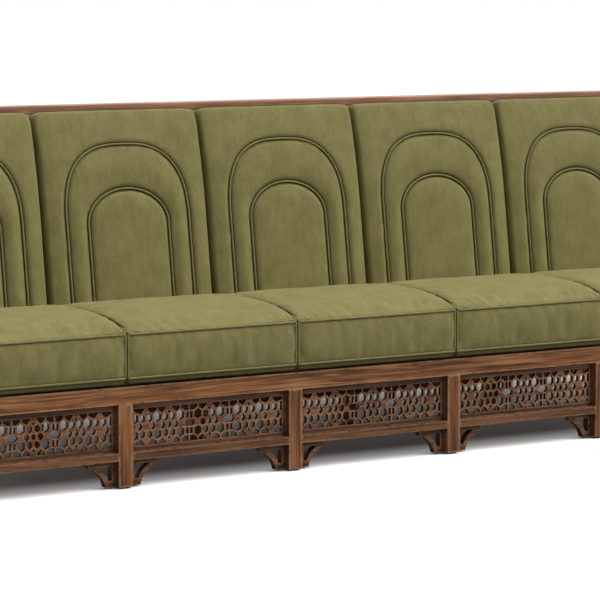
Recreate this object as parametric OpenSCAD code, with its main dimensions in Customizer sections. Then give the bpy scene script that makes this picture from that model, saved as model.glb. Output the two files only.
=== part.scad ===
// Modular restaurant bench: a walnut frame with fretwork panels under the seat,
// loose box seat cushions and arched back cushions, repeated bay by bay.
// Inside this file x runs along the bench from the first post's centre line,
// y runs back from the front faces of the posts, and z is height above the floor.

/* [Bench] */
// Number of bays side by side
bay_count = 5; // [2:1:5]
// Distance from post centre to post centre
bay_w = 600; // [520:10:760]

/* [Front frame] */
// Width of a front post
post_w = 48; // [36:1:64]
// Depth of a front post
post_d = 48; // [44:1:60]
// Height of the underside of the front top rail above the floor
rail_z = 259; // [230:1:300]
// Height of the front top rail
rail_h = 54; // [40:1:80]
// Depth of the front top rail
rail_d = 60; // [50:1:80]
// Height of the underside of the bottom rails above the floor
low_rail_z = 86; // [70:1:95]
// Height of a bottom rail
low_rail_h = 25; // [20:1:35]
// How far panels and brackets sit behind the post faces
recess = 20; // [12:1:24]
// Height of a floor glide
glide_h = 5; // [2:0.5:6]
// Radius of a floor glide
glide_r = 21; // [10:0.5:22]

/* [Fretwork panel] */
// Thickness of a fretwork panel
panel_t = 14; // [8:1:18]
// Width of the plain border beside and below the fretwork
panel_border = 15; // [8:1:20]
// Width of the plain border above the fretwork
panel_top_border = 20; // [8:1:24]
// How far the corners of each cell lie outside its drawn outline
cell_grow = 0.9; // [0:0.1:1.2]
// Length of the tongues above and below a panel
tongue_h = 6; // [3:0.5:9]
// Thickness of those tongues
tongue_t = 6; // [4:0.5:8]

/* [Corner bracket] */
// Reach of a bracket along the bottom rail
bracket_w = 95; // [84:1:120]
// Gap between a bracket's foot and the floor
bracket_lift = 5; // [1:0.5:6]
// Thickness of a bracket
bracket_t = 28; // [16:1:28]
// Height of a bracket's plain outer end
bracket_end_h = 13; // [8:1:18]
// Radius of the bracket's hollow curve
bracket_r = 76; // [60:1:80]
// Width of the curved member between hollow and opening
bracket_rim = 13; // [9:0.5:16]
// Width of the upright member beside the post
bracket_stile = 15; // [9:1:20]
// Height of the member under the rail
bracket_bar = 15; // [8:1:16]

/* [Rear frame] */
// Width of a rear leg
leg_w = 48; // [36:1:64]
// Depth of a rear leg, front to back
leg_d = 48; // [40:1:60]
// Distance from the post faces to a rear leg's front at the seat
leg_seat_y = 580; // [540:5:640]
// How far a rear leg's foot stands behind its front at the seat
leg_splay = 70; // [20:5:100]
// Thickness of the rear seat rail
rear_rail_d = 40; // [30:1:50]
// How far the rear seat rail reaches below the underside of the front top rail
rear_rail_drop = 128; // [0:2:140]
// Width of a cross rail
cross_rail_w = 48; // [30:1:48]
// Thickness of the cap rail
cap_h = 28; // [20:1:40]
// Depth of the cap rail
cap_d = 66; // [56:1:90]
// Height of the top of the cap rail
overall_h = 1134; // [1000:1:1250]

/* [Boards and fasteners] */
// Thickness of the seat deck
deck_t = 14; // [12:1:22]
// Setback of the deck's front edge from the post faces
deck_setback = 40; // [20:1:45]
// Thickness of the back boards
board_t = 12; // [9:1:18]
// Thickness of the fastening strips behind the back cushions
strip_t = 3; // [2:0.5:5]
// Width of a fastening strip
strip_w = 50; // [25:5:80]
// Radius of a frame dowel
dowel_r = 5; // [3:0.5:7]
// Length of a frame dowel
dowel_l = 44; // [30:1:56]
// Radius of a bracket peg
peg_r = 3; // [2:0.5:4]
// Length of a bracket peg
peg_l = 24; // [14:1:24]
// Radius of a screw's shank
screw_r = 2; // [1.5:0.25:2.5]
// Length of a screw
screw_l = 36; // [26:1:40]
// Radius of a screw's head
screw_head_r = 4; // [3:0.25:5]

/* [Seat cushion] */
// Overhang of the seat cushions in front of the posts
seat_over = 9; // [0:1:20]
// Height of the top front seam above the cushion's base
seat_front_h = 146; // [110:1:180]
// Height of the crown above the top front seam
seat_crown_h = 47; // [25:1:60]
// Gap from a seat cushion to the bay line at each side
seat_gap = 0.6; // [0.4:0.1:3]
// Radius of the seat cushion's rolled edges
seat_edge_r = 9; // [5:0.5:14]

/* [Back cushion] */
// Lean of the back cushions from upright, in degrees
recline = 8.4; // [4:0.2:12]
// Thickness of a back cushion at its fullest
back_t = 88; // [70:1:110]
// Thickness of a back cushion along its top edge
back_top_t = 56; // [40:1:88]
// Length of a back cushion up its slope
back_l = 794; // [740:2:800]
// Gap from a back cushion to the bay line at each side
back_gap = 1.5; // [0.5:0.1:4]
// Radius of the back cushion's rolled edges
back_edge_r = 18; // [10:1:26]
// Half width of the outer stitched arch
arch_outer_w = 222; // [180:1:235]
// Half width of the inner stitched arch
arch_inner_w = 145; // [110:1:160]
// Height of the arches' springing up the cushion's slope
arch_spring = 420; // [360:5:460]
// Rise of the outer arch above the springing
arch_outer_rise = 259; // [220:1:300]
// Rise of the inner arch above the springing
arch_inner_rise = 114; // [90:1:160]
// Depth of the stitched seams
seam_depth = 12; // [6:1:16]

/* [Hidden] */
// Clearance round tenons, tongues and screws
fit_gap = 0.2;
// Clearance of the soft pieces from the boards they rest on
rest_gap = 0.3;
// Clearance between the seat cushions and the back cushions
seat_back_gap = 1.5;
// Clearance of the back boards from the rear legs
hair_gap = 0.02;
// How far the front boxing of a seat cushion swells between its two seams
seat_bulge = 3;

bench_l = bay_count * bay_w;
frame_l = bench_l + post_w;
deck_z = rail_z + rail_h;
seat_z = deck_z + deck_t;
panel_w = bay_w - post_w - 2 * fit_gap;
panel_h = rail_z - low_rail_z - low_rail_h;
bracket_h = low_rail_z - bracket_lift;
cap_z = overall_h - cap_h;
rear_rail_y = leg_seat_y - rear_rail_d;

// The slope of the back: its foot is the lower rear edge of the back cushions.
slope_z = seat_z + rest_gap;
slope_y = leg_seat_y - hair_gap - (board_t + strip_t) / cos(recline)
    + (slope_z - seat_z) * tan(recline);
// Distance back of a plane that lies n in front of the cushions' rear face, at height z
function slope_y_at(n, z) = slope_y - n / cos(recline) + (z - slope_z) * tan(recline);

// The cap rail's front face just clears the cushions' rear faces up to its own top edge.
cap_front_y = slope_y_at(0, overall_h) + rest_gap;
cap_back_y = cap_front_y + cap_d;
leg_top_y = slope_y_at(-strip_t - board_t, cap_z) + hair_gap;
centre_y = (cap_back_y - seat_over - seat_bulge) / 2;

// Tenons, as shares of the pieces that carry them
tenon_share = 0.5;
tenon_l = 24;
cap_tenon_l = 16;
low_tenon_l = 14;
low_tenon_h_share = 0.6;

/* Fretwork layout */
// The fretwork opening holds five rings and two links: the middle ring, a link on each side,
// then two rings that share a crossing. Cells are given as shares of half a ring's width and
// of half the opening's height, and are mirrored left, right, up and down.
link_share = 0.775;
rings_share = 5 + 2 * link_share;
fret_h = panel_h - panel_border - panel_top_border;
fret_drop = (panel_top_border - panel_border) / 2;
fret_w = panel_w - 2 * panel_border;
ring_half = fret_w / 2 / rings_share;
link_x = ring_half * (1 + link_share);
ring_x = 2 * link_x;
end_x = ring_x + 2 * ring_half;

pair_share = [[0.31, 0.64], [0.53, 0.54], [0.53, 0.34], [0.31, 0.22], [0.1, 0.34], [0.1, 0.54]];
tall_share = [[1, 0.74], [1.3, 0.6], [1.3, 0.32], [1, 0.18], [0.7, 0.32], [0.7, 0.6]];
half_tall_share = [[1, 0.74], [1, 0.18], [0.7, 0.32], [0.7, 0.6]];
side_cell_share = [[0.32, 0], [0.48, 0.18], [0.66, 0.18], [0.82, 0], [0.66, -0.18], [0.48, -0.18]];
mid_cell_share = [[-0.19, 0], [-0.1, 0.14], [0.1, 0.14], [0.19, 0], [0.1, -0.14], [-0.1, -0.14]];
diamond_share = [[-0.13, 0.72], [0, 0.64], [0.13, 0.72], [0, 0.8]];
ring_edge_share = [[0.19, 1], [0.93, 1], [0.93, 0.86], [0.66, 0.71], [0.56, 0.71]];
bar_edge_share = [[0.1, 1], [0.93, 1], [0.93, 0.86], [0.62, 0.73], [0.4, 0.73]];
corner_edge_share = [[0.1, 1], [1, 1], [1, 0.85], [0.62, 0.73], [0.4, 0.73]];
link_cell_share = [[-0.52, 0], [-0.31, 0.18], [0.31, 0.18], [0.52, 0], [0.31, -0.18], [-0.31, -0.18]];
slot_share = [[0.06, 0.27], [0.06, 0.6], [0.28, 0.6], [0.28, 0.27]];
link_edge_share = [[0.06, 1], [0.705, 1], [0.705, 0.86], [0.375, 0.7], [0.06, 0.7]];

/* Bracket curve */
// The hollow curve's centre lies outside the bracket, below its outer end.
bracket_centre_x_share = 1.16;
bracket_centre_z_share = 1.17;
bracket_step_share = 0.78;
bracket_step_drop = 9;
bracket_open_share = 0.75;

/* Screw places */
screw_inset = 12;
screw_rows_share = [0.12, 0.88];
board_rows_share = [0.08, 0.92];
strip_rows_share = [0.22, 0.8];
strip_l_share = 0.8;
head_h = 3;
dowel_rows_share = [0.3, 0.7];
peg_place_share = 0.45;
glide_pin_r = 3;
glide_pin_l = 12;
leg_dowel_share = 0.5;

/* Seat cushion shape */
// Extra height of the crown across the middle of a cushion
seat_puff = 6;
// Fall of the crown from its highest line to the rear edge
seat_fall = 12;
seat_crest_share = 0.6;
seat_base_z = seat_z + rest_gap;
seat_rear_n = back_t + seat_back_gap;
// Places across the cushion, as shares of its width
seat_stations_share = [0, 0.006, 0.025, 0.08, 0.2, 0.35, 0.5, 0.65, 0.8, 0.92, 0.975, 0.994, 1];
// How far each station is drawn in, as shares of the edge radius
seat_draw_share = [0.9, 0.35, 0.08, 0, 0, 0, 0, 0, 0, 0, 0.08, 0.35, 0.9];
seat_top_share = [0.05, 0.12, 0.2, 0.3, 0.42, 0.54, 0.66, 0.78, 0.9, 0.97];

/* Back cushion shape */
// Angles round the arch heads from the right springing to the left one, closest at the cushions' corners
arch_side_angles = [0, 9, 18, 27, 36, 43, 48, 51, 54, 60, 70, 80];
arch_angles = concat(
    arch_side_angles, [90], [for (i = [len(arch_side_angles) - 1 : -1 : 0]) 180 - arch_side_angles[i]]
);
// Places up the straight sides, as shares of the springing height
arch_leg_share = [0, 0.34, 0.67];
outer_power = 2.7;
inner_power = 2;
edge_power = 22;

/* Placing */
// Moves the bench so that the middle of its footprint is the origin
module centred() {
    translate([-bench_l / 2, -centre_y, 0]) children();
}

// Sides of post line k, -1 or 1, where there is a bay
function bay_sides(k) = [for (side = [-1, 1]) if (k + side / 2 > 0 && k + side / 2 < bay_count) side];

// Draws its children once on every post line
module at_posts() {
    for (k = [0 : bay_count]) translate([k * bay_w, 0, 0]) children();
}

// Draws its children once at the middle of every bay
module at_bays() {
    for (k = [0 : bay_count - 1]) translate([(k + 0.5) * bay_w, 0, 0]) children();
}

// Turns children drawn on the slope, with z up it and -y out of it, into place
module on_slope() {
    translate([0, slope_y, slope_z]) rotate([-recline, 0, 0]) children();
}

// A block centred on x = 0, from y0 and z0 upwards
module block(w, d, h, y0, z0) {
    translate([-w / 2, y0, z0]) cube([w, d, h]);
}

// A round bar along y, from y0 to y0 + l
module bar_y(r, l, y0, z0) {
    translate([0, y0, z0]) rotate([-90, 0, 0]) cylinder(r = r, h = l, $fn = 48);
}

/* Front frame */
// Tenon on top of a front post, or its mortise when grown by a clearance
module post_tenon(grow) {
    w = post_w * tenon_share + 2 * grow;
    d = post_d * tenon_share + 2 * grow;
    block(w, d, tenon_l + grow, (post_d - d) / 2, rail_z);
}

// Tenons at the two ends of a bottom rail, or their mortises
module low_rail_tenons(grow) {
    w = bay_w - post_w + 2 * low_tenon_l + 2 * grow;
    d = post_d * tenon_share + 2 * grow;
    h = low_rail_h * low_tenon_h_share + 2 * grow;
    block(w, d, h, (post_d - d) / 2, low_rail_z + (low_rail_h - h) / 2);
}

// The tongues of a fretwork panel, or their grooves
module panel_tongues(grow) {
    w = panel_w + 2 * grow;
    t = tongue_t + 2 * grow;
    y = recess + (panel_t - t) / 2;
    block(w, t, panel_h + 2 * tongue_h + 2 * grow, y, rail_z - panel_h - tongue_h - grow);
}

module front_post(k) {
    color([0.42, 0.26, 0.17])
    translate([k * bay_w, 0, 0])
    difference() {
        union() {
            block(post_w, post_d, rail_z - glide_h, 0, glide_h);
            post_tenon(0);
        }
        for (side = bay_sides(k)) translate([side * bay_w / 2, 0, 0]) low_rail_tenons(fit_gap);
        translate([0, post_d / 2, 0]) cylinder(r = glide_pin_r, h = glide_h + glide_pin_l, $fn = 32);
    }
}

module bottom_rail(k) {
    color([0.45, 0.28, 0.18])
    translate([(k + 0.5) * bay_w, 0, 0])
    difference() {
        union() {
            block(bay_w - post_w, post_d, low_rail_h, 0, low_rail_z);
            low_rail_tenons(0);
        }
        panel_tongues(fit_gap);
        bracket_pegs();
    }
}

module front_top_rail() {
    color([0.45, 0.28, 0.18])
    difference() {
        translate([bench_l / 2, 0, 0]) block(frame_l, rail_d, rail_h, 0, rail_z);
        at_posts() post_tenon(fit_gap);
        at_bays() panel_tongues(fit_gap);
        at_posts() front_dowels();
        at_bays() deck_screws(0);
    }
}

/* Fretwork panel */
// One cell of the fretwork, mirrored by sx and sz about the point x0 on the panel's middle line
module cell(share, x0, sx, sz) {
    corners = [for (p = share) [p[0] * ring_half, p[1] * fret_h / 2]];
    middle = [for (i = [0, 1]) [for (p = corners) p[i]] * [for (p = corners) 1] / len(corners)];
    outward = [for (p = corners) (p - middle) / norm(p - middle)];
    grown = corners + outward * cell_grow;
    polygon([for (p = grown) [x0 + sx * p[0], sz * p[1]]]);
}

// Cells that every ring has in each of its quarters
module ring_quarters(x0, edge_share) {
    for (sx = [-1, 1]) {
        cell(side_cell_share, x0, sx, 1);
        for (sz = [-1, 1]) {
            cell(pair_share, x0, sx, sz);
            cell(edge_share, x0, sx, sz);
        }
    }
}

// A ring with its middle cell and the diamonds under its two points
module full_ring(x0) {
    ring_quarters(x0, ring_edge_share);
    cell(mid_cell_share, x0, 1, 1);
    for (sz = [-1, 1]) cell(diamond_share, x0, 1, sz);
}

// The end ring has an upright bar through its middle and meets the border at one side
module end_ring(x0, out) {
    for (sz = [-1, 1]) {
        cell(bar_edge_share, x0, -out, sz);
        cell(corner_edge_share, x0, out, sz);
        cell(half_tall_share, x0, out, sz);
        for (sx = [-1, 1]) cell(pair_share, x0, sx, sz);
    }
    for (sx = [-1, 1]) cell(side_cell_share, x0, sx, 1);
}

// A link between two rings: a long cell with pairs of slots above and below
module link(x0) {
    cell(link_cell_share, x0, 1, 1);
    for (sx = [-1, 1], sz = [-1, 1]) {
        cell(slot_share, x0, sx, sz);
        cell(link_edge_share, x0, sx, sz);
    }
}

// Tall cells that stand above and below a crossing, drawn from their ring's centre
module crossing(x0, side) {
    for (sz = [-1, 1]) cell(tall_share, x0, side, sz);
}

module fretwork_2d() {
    difference() {
        square([panel_w, panel_h], center = true);
        translate([0, -fret_drop]) {
            full_ring(0);
            for (side = [-1, 1]) {
                crossing(0, side);
                link(side * link_x);
                full_ring(side * ring_x);
                crossing(side * ring_x, -side);
                crossing(side * ring_x, side);
                end_ring(side * end_x, side);
            }
        }
    }
}

module fretwork_panel(k) {
    color([0.44, 0.28, 0.18])
    translate([(k + 0.5) * bay_w, 0, 0])
    union() {
        translate([0, recess + panel_t, rail_z - panel_h / 2])
            rotate([90, 0, 0])
                linear_extrude(panel_t) fretwork_2d();
        for (up = [0, 1]) {
            block(panel_w, tongue_t, tongue_h, recess + (panel_t - tongue_t) / 2,
                up * (panel_h + tongue_h) + rail_z - panel_h - tongue_h);
        }
    }
}

/* Corner brackets */
// Bracket outline: x away from the post, y down from the rail
module bracket_2d() {
    cx = bracket_w * bracket_centre_x_share;
    cy = bracket_h * bracket_centre_z_share;
    step_x = bracket_w * bracket_step_share;
    step_y = bracket_end_h + bracket_step_drop;
    round_r = bracket_step_drop;
    difference() {
        union() {
            square([bracket_w, bracket_end_h]);
            square([bracket_w - round_r, step_y]);
            translate([bracket_w - round_r, bracket_end_h]) circle(r = round_r, $fn = 48);
            square([step_x, bracket_h]);
        }
        translate([cx, cy]) circle(r = bracket_r, $fn = 96);
        difference() {
            translate([bracket_stile, bracket_bar])
                square([bracket_w, bracket_h * bracket_open_share - bracket_bar]);
            translate([cx, cy]) circle(r = bracket_r + bracket_rim, $fn = 96);
            translate([cx, 0]) square([bracket_w, bracket_h]);
        }
    }
}

// The peg that joins a bracket to the rail above it
module bracket_peg() {
    x = bracket_w * peg_place_share;
    top = low_rail_z + (peg_l - bracket_bar + fit_gap);
    translate([x, recess + bracket_t / 2, top - peg_l]) cylinder(r = peg_r, h = peg_l, $fn = 32);
}

// Draws its children at both ends of a bay, as if the post face were x = 0
module bay_ends() {
    for (side = [0, 1]) mirror([side, 0, 0]) translate([post_w / 2 - bay_w / 2, 0, 0]) children();
}

module bracket_pegs() {
    bay_ends() bracket_peg();
}

module corner_brackets(k) {
    color([0.43, 0.27, 0.17])
    translate([(k + 0.5) * bay_w, 0, 0])
    difference() {
        bay_ends() {
            translate([fit_gap, recess, low_rail_z])
                rotate([-90, 0, 0])
                    linear_extrude(bracket_t) bracket_2d();
        }
        bracket_pegs();
    }
}

/* Rear frame */
// Leg outline: x is distance back, y is height
module leg_2d() {
    foot_y = leg_seat_y + leg_splay;
    polygon([
        [foot_y, glide_h], [foot_y + leg_d, glide_h],
        [leg_seat_y + leg_d, rail_z], [leg_seat_y + leg_d, seat_z],
        [leg_top_y + leg_d, cap_z], [leg_top_y, cap_z], [leg_seat_y, seat_z], [leg_seat_y, rail_z]
    ]);
}

// Tenon on top of a rear leg, or its mortise
module leg_tenon(grow) {
    w = leg_w * tenon_share + 2 * grow;
    d = leg_d * tenon_share + 2 * grow;
    block(w, d, cap_tenon_l + grow, leg_top_y + (leg_d - d) / 2, cap_z);
}

module rear_leg(k) {
    color([0.36, 0.22, 0.15])
    translate([k * bay_w, 0, 0])
    difference() {
        union() {
            translate([-leg_w / 2, 0, 0]) rotate([90, 0, 90]) linear_extrude(leg_w) leg_2d();
            leg_tenon(0);
        }
        leg_dowel();
        leg_screws(k);
        translate([0, leg_seat_y + leg_splay + leg_d / 2, 0])
            cylinder(r = glide_pin_r, h = glide_h + glide_pin_l, $fn = 32);
    }
}

module rear_seat_rail() {
    color([0.4, 0.25, 0.16])
    difference() {
        translate([bench_l / 2, 0, 0])
            block(frame_l, rear_rail_d, rail_h + rear_rail_drop, rear_rail_y, rail_z - rear_rail_drop);
        at_posts() rear_dowels();
        at_posts() leg_dowel();
        at_bays() deck_screws(1);
    }
}

module cross_rail(k) {
    color([0.4, 0.25, 0.16])
    translate([k * bay_w, 0, 0])
    difference() {
        block(cross_rail_w, rear_rail_y - rail_d, rail_h, rail_d, rail_z);
        front_dowels();
        rear_dowels();
    }
}

module cap_rail() {
    color([0.55, 0.36, 0.26])
    difference() {
        translate([bench_l / 2, 0, 0]) block(frame_l, cap_d, cap_h, cap_front_y, cap_z);
        at_posts() leg_tenon(fit_gap);
    }
}

/* Dowels */
// Two dowels between the front top rail and a cross rail
module front_dowels() {
    for (row = dowel_rows_share) bar_y(dowel_r, dowel_l, rail_d - dowel_l / 2, rail_z + row * rail_h);
}

// Two dowels between a cross rail and the rear seat rail
module rear_dowels() {
    for (row = dowel_rows_share) bar_y(dowel_r, dowel_l, rear_rail_y - dowel_l / 2, rail_z + row * rail_h);
}

// One shorter dowel between the rear seat rail and a rear leg
module leg_dowel() {
    l = dowel_l - 2 * dowel_r;
    bar_y(dowel_r, l, leg_seat_y - l / 2, rail_z + leg_dowel_share * rail_h);
}

module frame_dowels() {
    color([0.78, 0.64, 0.45]) {
        at_posts() front_dowels();
        at_posts() rear_dowels();
        at_posts() leg_dowel();
        at_bays() bracket_pegs();
    }
}

/* Boards */
module seat_deck(k) {
    color([0.5, 0.38, 0.26])
    translate([(k + 0.5) * bay_w, 0, 0])
    difference() {
        block(bay_w - 2 * fit_gap, leg_seat_y - deck_setback, deck_t, deck_setback, deck_z);
        deck_screws(0);
        deck_screws(1);
    }
}

module back_board(k) {
    color([0.5, 0.38, 0.26])
    translate([(k + 0.5) * bay_w, 0, 0])
    difference() {
        intersection() {
            on_slope() block(bay_w - 2 * fit_gap, board_t, overall_h, strip_t, -seat_z / 2);
            block(bay_w, overall_h, cap_z - seat_z, 0, seat_z);
        }
        for (side = [-1, 1]) translate([side * bay_w / 2, 0, 0]) leg_screw_pair(-side);
    }
}

// A wood screw that points along -z, with the top of its head at z = 0
module wood_screw() {
    rotate_extrude($fn = 32) polygon([
        [0, 0], [screw_head_r, 0], [screw_r, -head_h], [screw_r, -screw_l + screw_r], [0, -screw_l]
    ]);
}

// Two screws down through a bay's deck, into the front rail or the rear seat rail
module deck_screws(rear) {
    y = rear == 1 ? rear_rail_y + rear_rail_d / 2 : (deck_setback + rail_d) / 2;
    for (row = screw_rows_share) translate([(row - 0.5) * bay_w, y, seat_z]) wood_screw();
}

// A low and a high screw through a back board into a leg, on one side of the leg's centre line
module leg_screw_pair(side) {
    span = (cap_z - seat_z) / cos(recline);
    for (row = board_rows_share)
        on_slope()
            translate([side * screw_inset, strip_t, row * span]) rotate([90, 0, 0]) wood_screw();
}

// All the screws that enter leg k
module leg_screws(k) {
    for (side = bay_sides(k)) leg_screw_pair(side);
}

module board_screws() {
    color([0.72, 0.62, 0.35]) {
        at_bays() deck_screws(0);
        at_bays() deck_screws(1);
        for (k = [0 : bay_count]) translate([k * bay_w, 0, 0]) leg_screws(k);
    }
}

// The strips end below the cap rail, as the back boards do.
module fastening_strips() {
    color([0.12, 0.12, 0.12])
    at_bays()
        intersection() {
            on_slope()
                for (row = strip_rows_share)
                    block(bay_w * strip_l_share, strip_t, strip_w, 0, row * back_l);
            block(bay_w, overall_h, cap_z - rest_gap - seat_z, 0, seat_z);
        }
}

module floor_glides() {
    color([0.1, 0.1, 0.1])
    at_posts()
        for (y = [post_d / 2, leg_seat_y + leg_splay + leg_d / 2])
            translate([0, y, 0]) {
                cylinder(r = glide_r, h = glide_h, $fn = 48);
                cylinder(r = glide_pin_r, h = glide_h + glide_pin_l, $fn = 32);
            }
}

/* Cushion meshes */
// Triangles between two closed loops of m points, the first one starting at index a
function loop_band(a, b, m) = [
    for (i = [0 : m - 1]) let (j = (i + 1) % m) each [[a + i, a + j, b + j], [a + i, b + j, b + i]]
];
// Triangles that close a loop of m points from its first point
function loop_cap(a, m, flip) = [
    for (i = [1 : m - 2]) flip ? [a, a + i + 1, a + i] : [a, a + i, a + i + 1]
];

/* Seat cushion */
// Height of the crown above the front seam, at a share s of the depth
function crown(s) = s < seat_crest_share
    ? seat_crown_h * pow(1 - pow(1 - s / seat_crest_share, 2.5), 0.6)
    : seat_crown_h - seat_fall * pow((s - seat_crest_share) / (1 - seat_crest_share), 2);

// Outline of the cushion seen from its side, drawn in by d, with the crown raised by lift
function seat_outline(d, lift) =
    let (
        r = seat_edge_r,
        seam_z = seat_base_z + seat_front_h,
        rear_top_z = seam_z + crown(1),
        front = -seat_over + d,
        rear_low = slope_y_at(seat_rear_n, seat_base_z) - d,
        rear_high = slope_y_at(seat_rear_n, rear_top_z) - d,
        depth = slope_y_at(seat_rear_n, rear_top_z) + seat_over
    )
    concat(
        [[rear_low, seat_base_z + r + d], [rear_low - r, seat_base_z + d]],
        [[(rear_low + front) / 2, seat_base_z + d]],
        [[front + r, seat_base_z + d], [front, seat_base_z + r + d]],
        [[front - seat_bulge, seat_base_z + seat_front_h / 2]],
        [[front, seam_z - d]],
        [for (s = seat_top_share) [
            -seat_over + d + s * (depth - 2 * d), seam_z + crown(s) + lift * sin(180 * s) - d
        ]],
        [[rear_high, rear_top_z - r - d]]
    );

module seat_cushion(k) {
    w = bay_w - 2 * seat_gap;
    n = len(seat_stations_share);
    loops = [
        for (i = [0 : n - 1])
            let (
                s = seat_stations_share[i],
                d = seat_draw_share[i] * seat_edge_r,
                lift = seat_puff * (1 - pow(2 * s - 1, 4))
            )
            [for (p = seat_outline(d, lift)) [(s - 0.5) * w, p[0], p[1]]]
    ];
    m = len(loops[0]);
    points = [for (loop = loops) each loop];
    faces = concat(
        [for (i = [0 : n - 2]) each loop_band(i * m, (i + 1) * m, m)],
        loop_cap(0, m, true),
        loop_cap((n - 1) * m, m, false)
    );
    color([0.5, 0.47, 0.28])
    translate([(k + 0.5) * bay_w, 0, 0])
    polyhedron(points, faces);
}

/* Back cushion */
// Distance from an arch's centre to its outline at angle a, for half width w and rise h
function arch_radius(a, w, h, p) = 1 / pow(pow(abs(cos(a)) / w, p) + pow(sin(a) / h, p), 1 / p);

// Share of the full thickness that is left at height z up the slope
function thick_share(z) =
    1 - (1 - back_top_t / back_t) * pow(max(0, z - arch_spring) / (back_l - arch_spring), 2);

// An upside-down U across the cushion at thickness n: right foot, over the head, left foot
function arch_line(w, h, p, n) = concat(
    [for (s = arch_leg_share) [w, -n, s * arch_spring]],
    [for (a = arch_angles)
        let (r = arch_radius(a, w, h, p), z = arch_spring + r * sin(a)) [r * cos(a), -n * thick_share(z), z]],
    [for (i = [len(arch_leg_share) - 1 : -1 : 0]) [-w, -n, arch_leg_share[i] * arch_spring]]
);

module back_cushion(k) {
    w = bay_w / 2 - back_gap;
    rise = back_l - arch_spring;
    e = back_edge_r;
    field = back_t - seam_depth / 2;
    seam = back_t - seam_depth;
    step = seam_depth / 2;
    // Lines from the rear edge, round the rolled edge, over the field, band and inner panel
    lines = [
        arch_line(w - e / 3, rise - e / 3, edge_power, 0),
        arch_line(w, rise, edge_power, e),
        arch_line(w, rise, edge_power, field - e),
        arch_line(w - e / 4, rise - e / 4, edge_power, field - e / 3),
        arch_line(w - e, rise - e, edge_power, field),
        arch_line(arch_outer_w + 2 * step, arch_outer_rise + 2 * step, outer_power, field),
        arch_line(arch_outer_w, arch_outer_rise, outer_power, seam),
        arch_line(arch_outer_w - step, arch_outer_rise - step, outer_power, field),
        arch_line(
            (arch_outer_w + arch_inner_w) / 2, (arch_outer_rise + arch_inner_rise) / 2,
            (outer_power + inner_power) / 2, back_t
        ),
        arch_line(arch_inner_w + step, arch_inner_rise + step, inner_power, field),
        arch_line(arch_inner_w, arch_inner_rise, inner_power, seam),
        arch_line(arch_inner_w - step, arch_inner_rise - step, inner_power, field),
        arch_line(arch_inner_w / 2, arch_inner_rise / 2, inner_power, (field + back_t) / 2)
    ];
    m = len(lines[0]);
    count = len(lines);
    last = (count - 1) * m;
    // Lines from the fifth on have a foot on the rear face, so that the bottom closes in strips.
    first = 4;
    footed = count - first;
    right = count * m;
    left = right + footed;
    rear_hub = left + footed;
    front_hub = rear_hub + 1;
    points = concat(
        [for (line = lines) each line],
        [for (i = [first : count - 1]) [lines[i][0][0], 0, 0]],
        [for (i = [first : count - 1]) [-lines[i][0][0], 0, 0]],
        [[0, 0, arch_spring], [0, -(field + back_t) / 2, arch_spring]]
    );
    rear_edge = concat(
        [0], [for (i = [0 : footed - 1]) right + i], [for (i = [footed - 1 : -1 : 0]) left + i], [m - 1]
    );
    faces = concat(
        [for (line = [0 : count - 2], i = [0 : m - 2])
            let (a = line * m + i, b = a + m) each [[a, b + 1, a + 1], [a, b, b + 1]]],
        [for (i = [0 : m - 2]) each [[front_hub, last + i + 1, last + i], [rear_hub, i, i + 1]]],
        [[front_hub, last, last + m - 1]],
        [for (i = [0 : len(rear_edge) - 2]) [rear_hub, rear_edge[i + 1], rear_edge[i]]],
        [for (i = [0 : first - 1]) let (a = i * m) each [
            [right, a + m, a], [left, a + m - 1, a + 2 * m - 1]
        ]],
        [for (i = [0 : footed - 2]) let (a = (first + i) * m, b = a + m) each [
            [right + i, right + i + 1, b], [right + i, b, a],
            [left + i, b + m - 1, left + i + 1], [left + i, a + m - 1, b + m - 1]
        ]],
        let (r = right + footed - 1, l = left + footed - 1) [[r, l, last + m - 1], [r, last + m - 1, last]]
    );
    color([0.5, 0.47, 0.28])
    translate([(k + 0.5) * bay_w, 0, 0])
    on_slope()
    polyhedron(points, faces);
}

centred() front_top_rail();
centred() rear_seat_rail();
centred() cap_rail();
for (k = [0 : bay_count]) {
    centred() front_post(k);
    centred() rear_leg(k);
    centred() cross_rail(k);
}
for (k = [0 : bay_count - 1]) {
    centred() bottom_rail(k);
    centred() fretwork_panel(k);
    centred() corner_brackets(k);
    centred() seat_deck(k);
    centred() back_board(k);
    centred() seat_cushion(k);
    centred() back_cushion(k);
}
centred() floor_glides();
centred() frame_dowels();
centred() board_screws();
centred() fastening_strips();
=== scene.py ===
"""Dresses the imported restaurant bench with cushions, piping, timber finishes, a studio and a camera."""

import logging
import math
from collections.abc import Callable, Sequence
from dataclasses import dataclass, field
from enum import Enum

import bmesh
import bpy
from bmesh.types import BMEdge, BMesh, BMVert
from bpy.types import Material, Mesh, Node, NodeSocket, NodeTree, Object
from mathutils import Matrix, Vector, noise


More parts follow.
